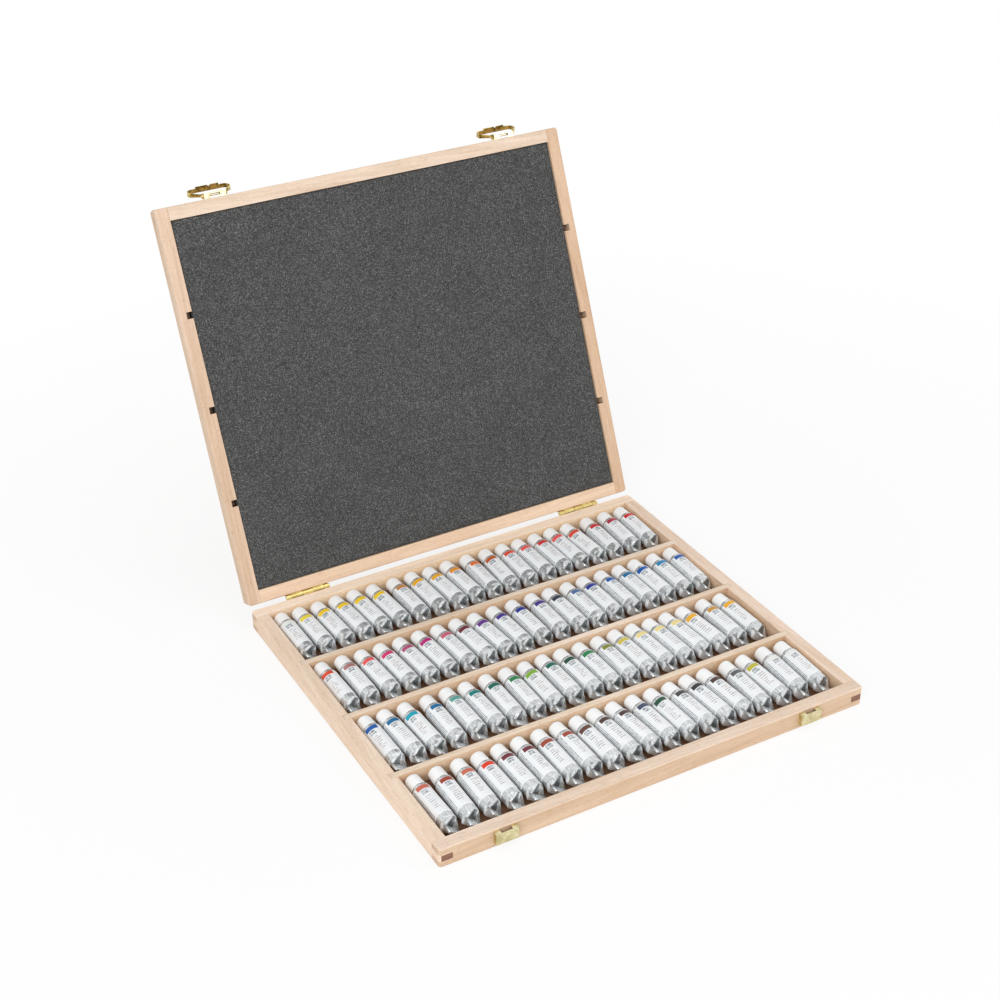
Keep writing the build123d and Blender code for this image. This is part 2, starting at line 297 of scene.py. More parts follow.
# Foam pad, in the closed lid's place: across, front to back, lower face, upper face, rounded edge
PAD_WIDTH, PAD_DEPTH, PAD_LOW, PAD_HIGH, PAD_EASE = 319.4, 281.4, 17.0, 25.1, 1.1
PAD_COLUMNS, PAD_ROWS = 88, 76
PAD_RIPPLE, RIPPLE_LIMIT, RIPPLE_EDGE = 0.03, 0.1, 6


def foam_finish():
    """Dark grey open-cell foam: each cell has a grey of its own, with finer grit and a faint cloud."""
    made, tree, shader = material("foam_dark_grey", Roughness=0.95, Specular_IOR_Level=0.15)
    where = add(tree, "ShaderNodeTexCoord").outputs["Object"]
    cells = scaled(tree, where, (1800, 1800, 1800))
    cells = add(tree, "ShaderNodeTexVoronoi", {"Vector": cells, "Scale": 1.0})
    cell = add(tree, "ShaderNodeSeparateColor", {0: cells.outputs["Color"]}).outputs[0]
    grit = noise(tree, scaled(tree, where, (2400, 2400, 2400)), 1, 0.6)
    cloud = noise(tree, scaled(tree, where, (22, 22, 22)), 3, 0.6)
    shade = ramp(tree, cell, (0.0, 0.03), (0.5, 0.082), (0.8, 0.125), (1.0, 0.27))
    shade = mix(tree, share_of(tree, grit, 0.35, 0.9), shade, srgb(64, 64, 63))
    shade = mix(tree, 1.0, shade, ramp(tree, cloud, (0.3, 0.93), (0.7, 1.07)), "MULTIPLY")
    tree.links.new(shade, shader.inputs["Base Color"])
    bump(tree, shader, calc(tree, "ADD", cells.outputs["Distance"], grit), 0.0003, 0.7)
    return made


def pad_lines(size, count):
    """Places along one side of the pad, bunched at its rounded edges."""
    edge = [PAD_EASE * share for share in (0.0, 0.12, 0.35, 0.65, 1.0)]
    middle = [PAD_EASE + (size - 2 * PAD_EASE) * k / count for k in range(1, count)]
    return [v - size / 2 for v in edge + middle + [size - v for v in reversed(edge)]]


def foam_pad():
    """A slab of open-cell foam, pressed into the lid's recess, its cut edge slightly rounded."""
    soft = random.Random(5)
    waves = [(soft.uniform(0.02, 0.09), soft.uniform(0.02, 0.09), soft.uniform(0, 6.3)) for _ in range(6)]

    def point(x, y):
        """A place on the pad's visible face, a little lower near its edges."""
        edge = min(PAD_WIDTH / 2 - abs(x), PAD_DEPTH / 2 - abs(y))
        drop = PAD_EASE - math.sqrt(max(PAD_EASE ** 2 - max(PAD_EASE - edge, 0) ** 2, 0))
        ripple = sum(math.sin(a * x + b * y + c) for a, b, c in waves) * PAD_RIPPLE
        ripple = max(ripple, -RIPPLE_LIMIT) * min(edge / RIPPLE_EDGE, 1)
        return swing((x, y, PAD_LOW + drop + ripple + RIPPLE_LIMIT))

    columns, rows = pad_lines(PAD_WIDTH, PAD_COLUMNS), pad_lines(PAD_DEPTH, PAD_ROWS)
    points = [point(x, y) for y in rows for x in columns]
    count = len(columns)
    faces = [(j * count + i, (j + 1) * count + i, (j + 1) * count + i + 1, j * count + i + 1)
             for j in range(len(rows) - 1) for i in range(count - 1)]

    # The sides and the hidden face, from the visible face's rim
    rim = list(range(count))
    rim += [j * count + count - 1 for j in range(1, len(rows))]
    rim += [(len(rows) - 1) * count + i for i in range(count - 2, -1, -1)]
    rim += [j * count for j in range(len(rows) - 2, 0, -1)]
    hidden = len(points)
    points += [swing((columns[index % count], rows[index // count], PAD_HIGH)) for index in rim]
    for k in range(len(rim)):
        after = (k + 1) % len(rim)
        faces.append((rim[k], rim[after], hidden + after, hidden + k))
    faces.append(tuple(hidden + k for k in range(len(rim))))
    made = piece("foam_pad", points, faces, foam_finish(), "lid")
    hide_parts("lid_foam_pad")


foam_pad()


# Paint tubes. Lengths along a tube are counted from its cap's end towards its tail.
TUBES_PER_ROW = 20
PITCH, RADIUS, TUBE_Z = 15.9, 6.75, 9.75
# By row from the back: where its tubes begin, and how far that is from the compartment's back
ROW_Y = (141.0, 68.9, -2.6, -74.5)
ROW_SLACK = (0.0, 0.4, 0.2, 0.4)
COMPARTMENT, END_GAP, LEAN_ROOM = 66.9, 0.2, 6.0
# From the least to the most: the tails' slant in degrees, and how far a tube slips along
ROLL = (33.0, 46.0)
SLIP = (-0.7, 0.6)
SIDES, SHOULDER_SIDES, CAP_SIDES, CRIMP_STEPS = 64, 48, 40, 16
LABEL_START, LABEL_END, LABEL_RADIUS, LABEL_SINK = 16.2, 46.4, 6.9, 0.04
TAIL_START, CRIMP_START, TUBE_END = 51.2, 56.6, 64.2
CRIMP_HALF, CRIMP_ASIDE, CRIMP_RADIUS = 7.2, 1.1, 0.7
# Creases by their share of the depth, and the ridge on the tail's upper face
CREASES, CREASE_DEPTH, CREASE_LENGTH = (0.55, 0.4, 0.3, 0.2), 0.4, (5.5, 11.0)
RIDGE_HEIGHT, RIDGE_HALF, RIDGE_ACROSS = 0.9, 2.6, (0.6, 3.0)
BLUNTNESS, LOWER_BLUNTNESS = (1.2, 1.6), 5
TAIL_STEPS, LABEL_STEP = 26, 3.6

# Outlines: the shoulder's and the cap's as (along, radius), the folded end's as (along, up)
SHOULDER = ((12.4, 4.4), (13.0, 5.0), (13.1, 5.7), (13.3, 6.1), (13.8, 6.46), (14.5, 6.66), (15.4, 6.74),
            (17.4, 6.75))
CAP = ((1.6, 0.02), (1.6, 2.6), (1.64, 4.1), (1.8, 4.75), (2.15, 5.22), (2.7, 5.5), (3.5, 5.6), (5.0, 5.64),
       (8.0, 5.76), (10.6, 5.86), (12.6, 5.94), (12.85, 5.94), (12.98, 5.8), (13.0, 5.5), (13.0, 4.6))
FOLDED_END = ((56.2, -0.7), (63.6, -0.72), (64.05, -0.5), (64.2, -0.1), (64.2, 0.35), (64.0, 0.8),
              (63.6, 0.95), (57.8, 0.98), (57.5, 0.85), (57.46, 0.65), (56.2, 0.68))

# How far each tube lies aside of the even pitch, at two places along it, and how far its label is
# turned, in degrees. They were measured in the photograph, tube by tube.
CAP_READ, TAIL_READ = 9.0, 40.0
CAP_SHIFT = (
    (-0.6, -1.7, -2.3, -2.9, -3.3, -3.3, -1.5, -1.3, -1.9, -1.9, -0.1, 0.9, 0.3, -0.9, -1.3, -1.7, -2.3,
     0.3, 1.3, 1.5),
    (-0.5, 0.0, -0.4, -0.8, -0.9, -0.9, -1.0, -1.1, -1.6, -0.8, 0.0, 1.2, 0.6, 0.7, 0.1, 0.6, 0.8, 0.1,
     1.3, 1.9),
    (-0.2, -1.3, -1.4, 0.1, 0.3, -0.7, 0.3, 0.6, 0.2, 0.0, -0.6, -0.7, -0.8, -1.3, -1.9, -2.6, -3.4, -3.9,
     -1.2, -1.3),
    (0.3, 1.6, 2.1, 1.6, 1.4, 1.1, 1.3, 0.7, 0.2, -0.8, -1.4, -1.1, -1.5, -2.1, -2.6, -3.2, -0.2, -1.0,
     1.3, 1.5),
)
TAIL_SHIFT = (
    (-0.3, -0.4, -0.6, -0.8, -1.2, -1.1, -0.3, 0.2, 0.1, -0.2, -0.2, -0.2, -0.2, -0.2, -0.6, -0.9, -0.9,
     -0.6, 0.3, 0.8),
    (0.5, 0.7, 1.0, 1.0, 1.0, 1.0, 1.0, 1.2, 0.9, 0.5, 0.7, 1.1, 1.1, 1.0, 0.6, 0.8, 1.0, 0.6, 1.0, 1.1),
    (0.2, 0.1, -0.1, 0.2, 0.6, 0.2, 0.2, 0.3, 0.0, 0.2, 0.2, -0.3, -0.6, -0.6, -0.7, -1.2, -1.6, -1.7,
     -1.0, -0.6),
    (1.1, 1.4, 1.8, 2.0, 2.0, 1.7, 1.3, 1.1, 1.2, 1.0, 0.7, 0.2, -0.2, -0.4, -0.6, -1.2, -1.0, -0.4,
     0.1, 0.6),
)
LABEL_TURN = (
    (-50, -53, -60, -46, -57, -62, -38, -58, -50, -42, -30, -60, -45, -43, -42, -62, -64, -38, -43, -41),
    (-64, -45, -54, -55, -50, -56, -43, -51, -46, -43, -40, -40, -44, -32, -48, -30, -40, -60, -43, -38),
    (-62, -46, -62, -34, -36, -37, -44, -36, -60, -40, -48, -47, -36, -51, -46, -37, -39, -62, -42, -53),
    (-46, -40, -39, -44, -44, -36, -55, -32, -62, -40, -33, -41, -62, -36, -48, -39, -45, -58, -40, -44),
)

# The bands' colours, and which band each tube of each row has
PAINT = {
    "bare": (236, 238, 235), "lemon": (238, 216, 62), "yellow": (246, 206, 34), "gold": (240, 176, 34),
    "amber": (238, 148, 40), "orange": (236, 110, 38), "vermilion": (226, 76, 50), "coral": (234, 92, 90),
    "red": (208, 44, 50), "crimson": (176, 40, 66), "rose": (212, 50, 112), "magenta": (184, 36, 120),
    "fuchsia": (179, 80, 119), "clay": (201, 105, 82), "maroon": (110, 36, 50),
    "dusty pink": (204, 96, 120), "purple": (102, 52, 140), "violet": (72, 50, 140),
    "ultramarine": (38, 56, 150), "blue": (18, 88, 172), "teal blue": (10, 108, 156),
    "cerulean": (26, 134, 186), "turquoise": (6, 164, 186), "teal": (0, 128, 126),
    "sea green": (87, 162, 152), "viridian": (0, 100, 84), "dark green": (22, 74, 52),
    "green": (30, 128, 70), "leaf green": (128, 176, 52), "olive": (128, 134, 44),
    "ochre": (204, 148, 52), "straw": (240, 219, 146), "mustard": (213, 195, 82), "tan": (197, 134, 71),
    "sienna": (190, 92, 40), "rust": (158, 66, 46), "umber": (96, 58, 44), "dark brown": (72, 48, 44),
    "indigo": (58, 72, 98), "slate": (46, 55, 70), "steel blue": (72, 108, 160),
    "old rose": (172, 115, 115), "grey": (92, 92, 96), "lime": (195, 185, 60), "scarlet": (228, 58, 26),
    "dark grey": (66, 62, 66), "black": (42, 42, 46),
}
ROWS = (
    ("bare", "lemon", "yellow", "yellow", "yellow", "yellow", "tan", "gold", "gold", "amber",
     "orange", "sienna", "vermilion", "coral", "red", "coral", "vermilion", "red", "crimson", "red"),
    ("vermilion", "old rose", "coral", "rose", "fuchsia", "magenta", "dusty pink", "maroon", "purple",
     "violet", "ultramarine", "violet", "slate", "steel blue", "ultramarine", "blue", "teal blue", "blue",
     "cerulean", "blue"),
    ("blue", "teal blue", "turquoise", "teal blue", "sea green", "teal", "viridian", "green", "leaf green",
     "viridian", "dark green", "green", "olive", "mustard", "straw", "straw", "straw", "gold", "ochre",
     "gold"),
    ("clay", "rust", "clay", "scarlet", "maroon", "maroon", "rust", "rust", "umber", "dark brown",
     "dark brown", "indigo", "dark green", "dark grey", "black", "dark brown", "grey", "lime", "bare",
     "bare"),
)


def metal_finish():
    """Tube aluminium, rubbed along the tube and finely mottled. Each point's painted light value gives the
    steep fold (1) a painted dark reflection, and the lower side (-1) painted light, paler and less
    metallic."""
    made, tree, shader = material("tube_aluminium")
    where = add(tree, "ShaderNodeTexCoord").outputs["Object"]
    rub = noise(tree, scaled(tree, where, (1500, 120, 1500)), 3, 0.6)
    mottle = noise(tree, scaled(tree, where, (900, 500, 900)), 3, 0.65, 0.5)
    crush = noise(tree, scaled(tree, where, (330, 260, 330)), 2, 0.5)
    colour = mix(tree, share_of(tree, rub, 0.36, 0.64), srgb(184, 189, 191), srgb(244, 246, 247))
    colour = mix(tree, 1.0, colour, ramp(tree, mottle, (0.38, 0.86), (0.6, 1.0)), "MULTIPLY")
    painted_light = add(tree, "ShaderNodeAttribute", attribute_name="painted_light").outputs["Fac"]
    # Painted reflection: the steep triangle by the fold is darkened as if it mirrored the shaded gap in
    # front of it
    colour = mix(tree, calc(tree, "MULTIPLY", painted_light, 0.95, clamp=True), colour, srgb(90, 94, 96))
    # Painted light: the tail's lower side is made paler and less metallic, as if well lit
    below = calc(tree, "MULTIPLY", painted_light, -1.0, clamp=True)
    colour = mix(tree, below, colour, srgb(250, 252, 252))
    tree.links.new(calc(tree, "MULTIPLY_ADD", below, -0.4, 0.6), shader.inputs["Metallic"])
    tree.links.new(colour, shader.inputs["Base Color"])
    tree.links.new(calc(tree, "MULTIPLY_ADD", mottle, 0.24, 0.14), shader.inputs["Roughness"])
    height = calc(tree, "ADD", calc(tree, "MULTIPLY", mottle, 0.2), calc(tree, "ADD", crush, rub))
    bump(tree, shader, height, 0.00025, 0.35)
    return made


# The label's layout: to the right from the colour band's left end, and along the tube
BAND_RIGHT, BAND_END = 10.2, 20.2
SIDE_LINES = ((-2.6, -2.0), (-3.85, -3.25), (-5.1, -4.5), (-6.5, -5.8))
SIDE_LINES_START, SIDE_LINES_END = 17.0, 45.2
# The label's far left is pale grey: partly the label's own grey, partly painted shade where that side turns
# from the light.
GREY_SIDE = (-30.0, -6.8)


def label_finish():
    """A white wrap with a colour band, plain bars and thin lines along its side. The wrap coordinates
    are the layout's millimetres."""
    made, tree, shader = material("label_print")
    where = add(tree, "ShaderNodeUVMap", uv_map="wrap").outputs[0]
    axes = add(tree, "ShaderNodeSeparateXYZ", {0: where})
    right, along = axes.outputs[0], axes.outputs[1]
    paint = add(tree, "ShaderNodeAttribute", attribute_name="paint").outputs["Color"]
    number = add(tree, "ShaderNodeAttribute", attribute_name="number").outputs["Fac"]

    def within(value, low, high, soft=0.08):
        """1 between low and high, with a narrow soft edge."""
        up = share_of(tree, value, low - soft, low + soft)
        down = share_of(tree, value, high - soft, high + soft)
        return calc(tree, "SUBTRACT", up, down)

    def product(*values):
        """All the values multiplied."""
        made = values[0]
        for value in values[1:]:
            made = calc(tree, "MULTIPLY", made, value)
        return made

    def chance(step_across, step_along, seed):
        """A value of its own for each cell of that size on each tube."""
        column = calc(tree, "FLOOR", calc(tree, "DIVIDE", right, step_across))
        line = calc(tree, "FLOOR", calc(tree, "DIVIDE", along, step_along))
        line = calc(tree, "ADD", line, calc(tree, "MULTIPLY", number, 40.0))
        place = add(tree, "ShaderNodeCombineXYZ", {0: column, 1: line, 2: seed})
        return add(tree, "ShaderNodeTexWhiteNoise", {"Vector": place.outputs[0]},
                   noise_dimensions="3D").outputs["Value"]

    def bars(low, high, first, last, step, share, uneven, cell, seed):
        """Plain bars round the tube, one every step along it, of uneven length and darkness."""
        phase = calc(tree, "FRACT", calc(tree, "DIVIDE", calc(tree, "SUBTRACT", along, first), step))
        far = calc(tree, "SUBTRACT", high, calc(tree, "MULTIPLY", chance(100.0, step, seed), uneven))
        inside = product(calc(tree, "GREATER_THAN", right, low), calc(tree, "LESS_THAN", right, far))
        dark = calc(tree, "MULTIPLY_ADD", chance(cell, step, seed + 0.5), 0.75, 0.25)
        return product(inside, calc(tree, "LESS_THAN", phase, share), within(along, first, last), dark)

    band = product(within(right, 0.0, BAND_RIGHT), within(along, LABEL_START + 0.2, BAND_END))
    thick_bars = bars(low=1.6, high=6.8, first=20.9, last=25.6, step=2.3, share=0.8, uneven=0.8, cell=0.8,
                      seed=1.0)
    thin_bars = bars(low=1.8, high=7.8, first=27.2, last=41.6, step=2.05, share=0.46, uneven=3.2, cell=1.0,
                     seed=2.0)

    lines = within(right, *SIDE_LINES[0])
    for low, high in SIDE_LINES[1:]:
        lines = calc(tree, "ADD", lines, within(right, low, high))
    worn = calc(tree, "MULTIPLY_ADD", chance(1.3, 1.7, 3.0), 0.6, 0.4)
    lines = product(lines, within(along, SIDE_LINES_START, SIDE_LINES_END), worn)

    age = noise(tree, scaled(tree, where, (0.16, 0.09, 1.0)), 2, 0.5)
    colour = ramp(tree, age, (0.35, srgb(240, 243, 245)), (0.65, srgb(247, 249, 250)))
    # Partly painted shade: the label's far left is greyer where it turns from the light
    colour = mix(tree, within(right, *GREY_SIDE, 0.3), colour, srgb(222, 226, 228))
    colour = mix(tree, product(lines, 0.92), colour, srgb(82, 94, 100))
    colour = mix(tree, product(thick_bars, 0.9), colour, srgb(96, 110, 120))
    ink = mix(tree, chance(100.0, 2.05, 4.0), srgb(118, 121, 127), srgb(184, 156, 151))
    colour = mix(tree, product(thin_bars, 0.8), colour, ink)
    colour = mix(tree, band, colour, paint)
    tree.links.new(colour, shader.inputs["Base Color"])
    paper = noise(tree, scaled(tree, where, (0.5, 0.35, 1.0)), 3, 0.6)
    tree.links.new(calc(tree, "MULTIPLY_ADD", paper, 0.2, 0.3), shader.inputs["Roughness"])
    bump(tree, shader, paper, 0.0002, 0.35)
    return made


def cap_finish():
    """White moulded plastic with a little light under its skin."""
    made, tree, shader = material("cap_white_plastic", Subsurface_Weight=0.05,
                                  Subsurface_Radius=(0.002, 0.002, 0.0018))
    where = add(tree, "ShaderNodeTexCoord").outputs["Object"]
    haze = noise(tree, scaled(tree, where, (120, 120, 120)), 2, 0.5)
    grain = noise(tree, scaled(tree, where, (2600, 2600, 2600)), 1, 0.5)
    tree.links.new(ramp(tree, haze, (0.3, srgb(250, 251, 251)), (0.7, srgb(253, 254, 254))),
                   shader.inputs["Base Color"])
    tree.links.new(calc(tree, "MULTIPLY_ADD", grain, 0.14, 0.3), shader.inputs["Roughness"])
    bump(tree, shader, grain, 0.00003, 0.5)
    return made


class Tube:
    """One tube's place in the case. Its tail is pressed flat at a slant, its left edge up."""

    def __init__(self, row, number):
        self.number = number
        self.luck = random.Random(100 * row + number)
        lean = (TAIL_SHIFT[row][number] - CAP_SHIFT[row][number]) / (TAIL_READ - CAP_READ)
        roll = math.radians(self.luck.uniform(*ROLL))
        self.along = Vector((lean, -1, 0)).normalized()
        self.sideways = Vector((1, lean, 0)).normalized()
        self.across = self.sideways * math.cos(roll) - Vector((0, 0, math.sin(roll)))
        self.up = self.sideways * math.sin(roll) + Vector((0, 0, math.cos(roll)))
        room = COMPARTMENT - END_GAP - ROW_SLACK[row] - TUBE_END - abs(lean) * LEAN_ROOM
        slip = min(self.luck.uniform(*SLIP), room)
        x = (number - (TUBES_PER_ROW - 1) / 2) * PITCH + CAP_SHIFT[row][number] - CAP_READ * lean
        self.origin = Vector((x, ROW_Y[row], TUBE_Z)) + self.along * slip

    def place(self, across, up, station):
        """A point by the slanted tail's own directions."""
        return self.origin + self.across * across + self.up * up + self.along * station

    def round_place(self, angle, radius, station):
        """A point round the tube. angle is 0 at the top and grows to the right."""
        return (self.origin + self.sideways * radius * math.sin(angle)
                + Vector((0, 0, radius * math.cos(angle))) + self.along * station)

    def lathe(self, profile, sides):
        """Rings along a profile of (along, radius)."""
        turns = [2 * math.pi * j / sides for j in range(sides)]
        return [[self.place(radius * math.cos(turn), radius * math.sin(turn), station) for turn in turns]
                for station, radius in profile]


def limited(value):
    """The value, kept from 0 to 1."""
    return min(max(value, 0), 1)


def stadium(half_flat, radius, share):
    """A point of a cross-section that is being pressed flat, that share of the way round it."""
    quarter = math.pi * radius / 2
    walk = share * 4 * (quarter + half_flat)
    if walk < quarter:
        middle, angle = half_flat, walk / radius
    elif walk < quarter + 2 * half_flat:
        return half_flat - (walk - quarter), radius
    elif walk < 3 * quarter + 2 * half_flat:
        middle, angle = -half_flat, math.pi / 2 + (walk - quarter - 2 * half_flat) / radius
    elif walk < 3 * quarter + 4 * half_flat:
        return -half_flat + (walk - 3 * quarter - 2 * half_flat), -radius
    else:
        middle, angle = half_flat, -math.pi / 2 + (walk - 3 * quarter - 4 * half_flat) / radius
    return middle + radius * math.cos(angle), radius * math.sin(angle)


def triangle_wave(value):
    """A wave of straight flanks from -1 to 1, one to each unit of value."""
    return 4 * abs(value - math.floor(value + 0.5)) - 1


def tail_section(tube, creases, blunt, ridge, station):
    """The tube's closed end at one station: round, then folded flat within a short way. Its upper face
    is a steep triangle beside a ridge, its lower one keeps round longer. Gives the points of the ring
    and each point's painted light: 1 in the steep triangle, painted darker as a reflection, -1 on the lower
    side, painted paler."""
    t = limited((station - TAIL_START) / (CRIMP_START - TAIL_START))
    radius = RADIUS + (CRIMP_RADIUS - RADIUS) * t ** blunt
    lower = RADIUS + (CRIMP_RADIUS - RADIUS) * t ** LOWER_BLUNTNESS
    half_flat = max(RADIUS + (CRIMP_HALF - RADIUS) * t - radius, 0)
    depth = CREASE_DEPTH * math.sin(math.pi * min(t * 1.05, 1)) ** 0.6 if 0 < t < 0.95 else 0
    ring, painted_light_values = [], []
    for j in range(SIDES):
        a, n = stadium(half_flat, radius, j / SIDES)
        painted_light = 0.0
        if n < 0:
            n *= lower / radius
            painted_light = -limited((t - 0.05) / 0.2)
        elif t > 0:
            n += RIDGE_HEIGHT * math.sin(math.pi * t) * max(1 - abs(a - ridge) / RIDGE_HALF, 0)
            reach = 0.5 + 5.0 * t
            painted_light = limited((ridge - 0.4 - a) / 0.5) * limited((a + reach) / 0.8) * limited((t - 0.1) / 0.12)
        push = sum(triangle_wave((a * x + n * y + station * z) / length + phase) * share
                   for x, y, z, length, phase, share in creases)
        push = 1 + depth * (push - 0.8) / RADIUS
        ring.append(tube.place(a * push - CRIMP_ASIDE * t, n * push, station))
        painted_light_values.append(painted_light)
    return ring, painted_light_values


def tube_tail(tube):
    """The bare metal from under the label to the crimp, with each point's painted light value."""
    luck = tube.luck
    creases = []
    for share in CREASES:
        way = Vector((luck.gauss(0, 1), luck.gauss(0, 1), luck.gauss(0, 1))).normalized()
        creases.append((*way, luck.uniform(*CREASE_LENGTH) * (0.5 + share), luck.random(), share))
    blunt, ridge = luck.uniform(*BLUNTNESS), luck.uniform(*RIDGE_ACROSS)
    stations = [45.0, 46.4, 48.2, 50.0]
    stations += [TAIL_START + (CRIMP_START - TAIL_START) * k / TAIL_STEPS for k in range(TAIL_STEPS + 1)]
    sections = [tail_section(tube, creases, blunt, ridge, s) for s in stations]
    all_painted_light = [painted_light for ring, painted_light_values in sections for painted_light in painted_light_values]
    return rings_mesh([ring for ring, painted_light_values in sections]), all_painted_light


def tube_crimp(tube):
    """The flattened end folded over itself, its crease a little askew."""
    skew, bow = tube.luck.uniform(-0.5, 0.5), tube.luck.uniform(-0.3, 0.3)
    rings = []
    for k in range(CRIMP_STEPS + 1):
        a = CRIMP_HALF * (2 * k / CRIMP_STEPS - 1)
        wave = bow * math.sin(a * 0.35 + tube.number) + 0.1 * math.sin(a * 1.3 + tube.number * 2)
        rings.append([tube.place(a - CRIMP_ASIDE, n + wave * limited((s - CRIMP_START) / 5),
                                 s + (skew * a / 7 - abs(skew) if s > 59 else 0)) for s, n in FOLDED_END])
    return rings_mesh(rings, closed_start=True, closed_end=True)


def tube_label(tube, label_turn):
    """The paper wrap, its edges let down onto the metal, with each point's wrap coordinates."""
    turn = math.radians(label_turn)
    dent = tube.luck.uniform(0, 6.28)
    stations = [LABEL_START, LABEL_START + 0.1] + [LABEL_START + 0.6 + LABEL_STEP * k for k in range(9)]
    stations = [s for s in stations if s < LABEL_END - 0.7] + [LABEL_END - 0.6, LABEL_END - 0.1, LABEL_END]
    points, wraps = [], []
    for s in stations:
        at_edge = s in (LABEL_START, LABEL_END)
        for j in range(SIDES + 1):
            angle = turn + 2 * math.pi * (j / SIDES - 0.5)
            give = 0.05 * math.sin(2 * angle + dent) * math.sin((s - LABEL_START) / 30 * math.pi)
            radius = RADIUS - LABEL_SINK if at_edge else LABEL_RADIUS + give
            points.append(tube.round_place(angle, radius, s))
            wraps.append(((j / SIDES - 0.5) * 2 * math.pi * LABEL_RADIUS, s))
    count = SIDES + 1
    faces = [(a, a + count, a + 1 + count, a + 1)
             for k in range(len(stations) - 1) for a in range(k * count, k * count + SIDES)]
    return (points, faces), wraps


def tube_cap(tube):
    """The cap, screwed on a little further on some tubes than on others."""
    lift = tube.luck.uniform(-0.15, 0.15)
    rings = tube.lathe([(station + lift, radius) for station, radius in CAP], CAP_SIDES)
    return rings_mesh(rings, closed_start=True, closed_end=True)


def row_pieces(row, metal, paper, plastic):
    """One row's metal, labels and caps, each a piece of its own on the row's body."""
    body = f"tube_row_{row + 1}"
    metal_points, metal_faces, painted_light_values = [], [], []
    label_points, label_faces, wraps, paints, numbers = [], [], [], [], []
    cap_points, cap_faces = [], []

    for number in range(TUBES_PER_ROW):
        tube = Tube(row, number)
        shoulder = rings_mesh(tube.lathe(SHOULDER, SHOULDER_SIDES), closed_start=True)
        append(metal_points, metal_faces, shoulder)
        painted_light_values.extend([0.0] * (len(metal_points) - len(painted_light_values)))
        tail, tail_painted_light = tube_tail(tube)
        append(metal_points, metal_faces, tail)
        painted_light_values.extend(tail_painted_light)
        append(metal_points, metal_faces, tube_crimp(tube))
        painted_light_values.extend([0.0] * (len(metal_points) - len(painted_light_values)))

        label, label_wraps = tube_label(tube, LABEL_TURN[row][number])
        append(label_points, label_faces, label)
        wraps.extend(label_wraps)
        paints.extend([srgb(*PAINT[ROWS[row][number]])] * len(label_wraps))
        numbers.extend([float(number + TUBES_PER_ROW * row)] * len(label_wraps))

        append(cap_points, cap_faces, tube_cap(tube))

    tubes = piece(f"aluminium_tubes_row_{row + 1}", metal_points, metal_faces, metal, body)
    # Painted light on the tails: a dark reflection by the fold, a paler lower side
    tubes.data.attributes.new("painted_light", "FLOAT", "POINT").data.foreach_set("value", painted_light_values)
    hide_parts(f"tubes_row_{row + 1}")
    labels = piece(f"labels_row_{row + 1}", label_points, label_faces, paper, body)
    mesh = labels.data
    wrap = mesh.uv_layers.new(name="wrap")
    for loop in mesh.loops:
        wrap.data[loop.index].uv = wraps[loop.vertex_index]
    tint = mesh.color_attributes.new("paint", "FLOAT_COLOR", "POINT")
    tint.data.foreach_set("color", [v for shade in paints for v in shade])
    mesh.attributes.new("number", "FLOAT", "POINT").data.foreach_set("value", numbers)
    caps = piece(f"white_caps_row_{row + 1}", cap_points, cap_faces, plastic, body)
    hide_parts(f"caps_row_{row + 1}")


metal, paper, plastic = metal_finish(), label_finish(), cap_finish()
for row in range(len(ROWS)):
    row_pieces(row, metal, paper, plastic)


# Brass
def brass_finish(name, dark, light, spread):
    """Brass sheet, rubbed, in two shades that run into each other over spread."""
    made, tree, shader = material(name, Metallic=1.0)
    where = add(tree, "ShaderNodeTexCoord").outputs["Object"]
    haze = noise(tree, scaled(tree, where, (170, 170, 170)), 3, 0.6)
    rub = noise(tree, scaled(tree, where, (300, 3000, 3000)), 2, 0.6)
    colour = ramp(tree, haze, (0.5 - spread, dark), (0.5 + spread, light))
    tree.links.new(colour, shader.inputs["Base Color"])
    tree.links.new(calc(tree, "MULTIPLY_ADD", rub, 0.2, 0.12), shader.inputs["Roughness"])
    bump(tree, shader, rub, 0.00003, 0.4)
    return made


pale_brass = brass_finish("pale_brass", srgb(212, 202, 154), srgb(247, 242, 212), 0.1)
keeper_brass = brass_finish("keeper_brass", srgb(196, 183, 134), srgb(230, 219, 176), 0.12)
gold_brass = brass_finish("gold_brass", srgb(208, 187, 116), srgb(234, 214, 148), 0.12)
worn_brass = brass_finish("worn_brass", srgb(136, 119, 58), srgb(228, 203, 128), 0.08)
FITTINGS = (
    # Node without its side, finish, softened edge
    ("keeper", keeper_brass, 0.12),
    ("latch_bracket", pale_brass, 0.12),
    ("latch_pin", pale_brass, 0.15),
    ("hasp", worn_brass, 0.12),
    ("hinge_base_leaf", gold_brass, 0.1),
    ("hinge_lid_leaf", gold_brass, 0.1),
    ("hinge_pin", gold_brass, 0.15),
)
for side in ("left", "right"):
    for part, brass, ease in FITTINGS:
        carried(f"{side}_{part}", brass, ease)


# Hinge screws: how far from the case's middle, how far back, and how high on either leaf
SCREW_X, SCREW_Y, SCREW_Z = (110.5, 122.0, 133.5), 151.9, {"base": 8.7, "lid": 22.3}
SCREW_SIDES, HEAD_SHARP_ANGLE = 32, 40
# The head's outline from its edge to its flat top, as (radius, out)
SCREW_HEAD = ((2.15, 0.0), (2.1, 0.12), (1.85, 0.24), (1.5, 0.3))
RECESS_HALF, RECESS_SLOT, RECESS_DEPTH, RECESS_TAPER = 1.05, 0.24, -0.35, 0.8


